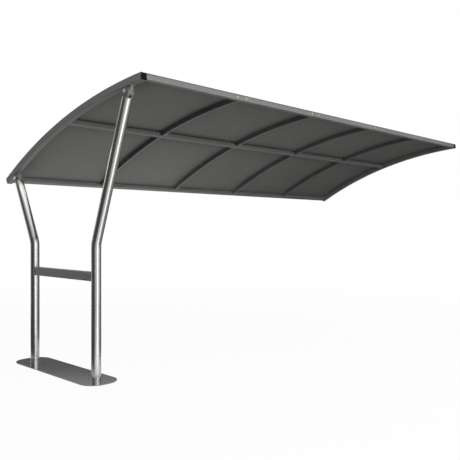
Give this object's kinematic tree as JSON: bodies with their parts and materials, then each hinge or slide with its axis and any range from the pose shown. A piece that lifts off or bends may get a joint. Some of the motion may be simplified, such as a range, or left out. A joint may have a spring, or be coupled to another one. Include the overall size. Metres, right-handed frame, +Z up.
{
  "type": "bicycle shelter",
  "caption": "Bicycle shelter extension bay: a long arched metal roof on curved ribs and purlins, carried at one end by bent tubular posts with a crossbar and base plate.",
  "frame": {"origin": "middle of the underside of the base plate, under the post frame", "axes": "+X along the roof away from the posts, +Y to the low rear edge of the roof, +Z up"},
  "size_m": [5.178, 2.0847, 2.2646],
  "materials": {
    "post_steel": "satin stainless tube",
    "bracket_paint": "satin",
    "bolt_steel": "satin",
    "cap_plastic": "matt",
    "roof_paint": "satin",
    "frame_paint": "satin",
    "base_paint": "semi-gloss"
  },
  "bodies": {
    "root": {"base_plate": "base_paint", "crossbar": "frame_paint", "front_bolt": "bolt_steel", "front_cleat_1": "frame_paint", "front_cleat_2": "frame_paint", "front_cleat_3": "frame_paint", "front_cleat_4": "frame_paint", "front_edge_tube": "frame_paint", "front_lug": "bracket_paint", "front_post": "post_steel", "front_post_head": "bracket_paint", "left_end_arch": "frame_paint", "left_front_cap": "cap_plastic", "left_rear_cap": "cap_plastic", "middle_cleat_1": "frame_paint", "middle_cleat_2": "frame_paint", "middle_cleat_3": "frame_paint", "middle_cleat_4": "frame_paint", "middle_purlin": "frame_paint", "rear_bolt": "bolt_steel", "rear_cleat_1": "frame_paint", "rear_cleat_2": "frame_paint", "rear_cleat_3": "frame_paint", "rear_cleat_4": "frame_paint", "rear_lug": "bracket_paint", "rear_post": "post_steel", "rear_post_head": "bracket_paint", "rear_purlin": "frame_paint", "rib_1_front": "frame_paint", "rib_1_rear": "frame_paint", "rib_2_front": "frame_paint", "rib_2_rear": "frame_paint", "rib_3_front": "frame_paint", "rib_3_rear": "frame_paint", "rib_4_front": "frame_paint", "rib_4_rear": "frame_paint", "right_end_arch": "frame_paint", "right_front_cap": "cap_plastic", "right_rear_cap": "cap_plastic", "roof_sheet_1": "roof_paint", "roof_sheet_2": "roof_paint", "roof_sheet_3": "roof_paint", "roof_sheet_4": "roof_paint", "roof_sheet_5": "roof_paint"}
  },
  "joints": []
}
